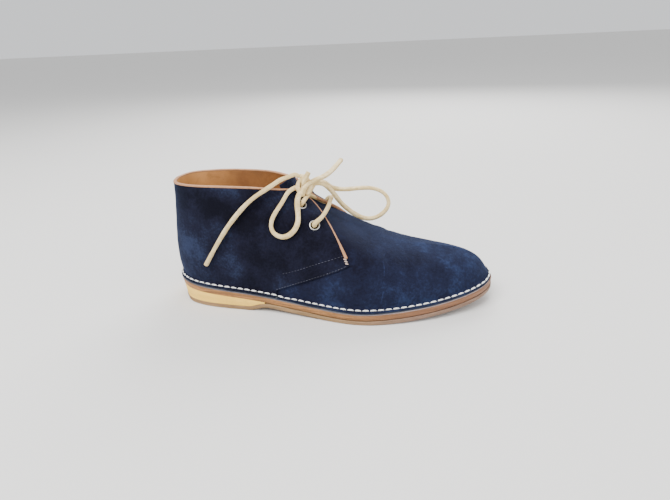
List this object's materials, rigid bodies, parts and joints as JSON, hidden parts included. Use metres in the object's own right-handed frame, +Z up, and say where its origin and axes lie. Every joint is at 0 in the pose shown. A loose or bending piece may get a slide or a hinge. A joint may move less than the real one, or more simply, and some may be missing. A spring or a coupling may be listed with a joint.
{
  "type": "chukka boot",
  "caption": "Ankle-high laced boot with a two-piece suede upper turned out over a layered sole, a tongue under the open throat and a tied lace.",
  "frame": {"origin": "on the ground, at the middle of the boot's length and width", "axes": "+X towards the toe, +Y towards the inner side of the foot, +Z up"},
  "size_m": [0.302, 0.1065, 0.1254],
  "materials": {
    "suede": "navy suede with a short nap",
    "lining": "smooth tan leather",
    "midsole": "cut edge of orange-tan leather",
    "outsole": "matt beige-brown rubber",
    "wedge": "matt cream rubber",
    "eyelet": "satin",
    "lace": "cream rawhide"
  },
  "bodies": {
    "root": {"outsole": "outsole", "heel_wedge": "wedge", "midsole": "midsole", "insole": "lining", "upper": "suede", "tongue": "suede", "eyelet_outer_upper": "eyelet", "eyelet_outer_lower": "eyelet", "eyelet_inner_upper": "eyelet", "eyelet_inner_lower": "eyelet", "lace_bar_lower": "lace", "lace_bar_upper": "lace", "lace_knot": "lace", "lace_loop_outer": "lace", "lace_loop_front": "lace", "lace_end_outer": "lace", "lace_end_inner": "lace"}
  },
  "joints": []
}
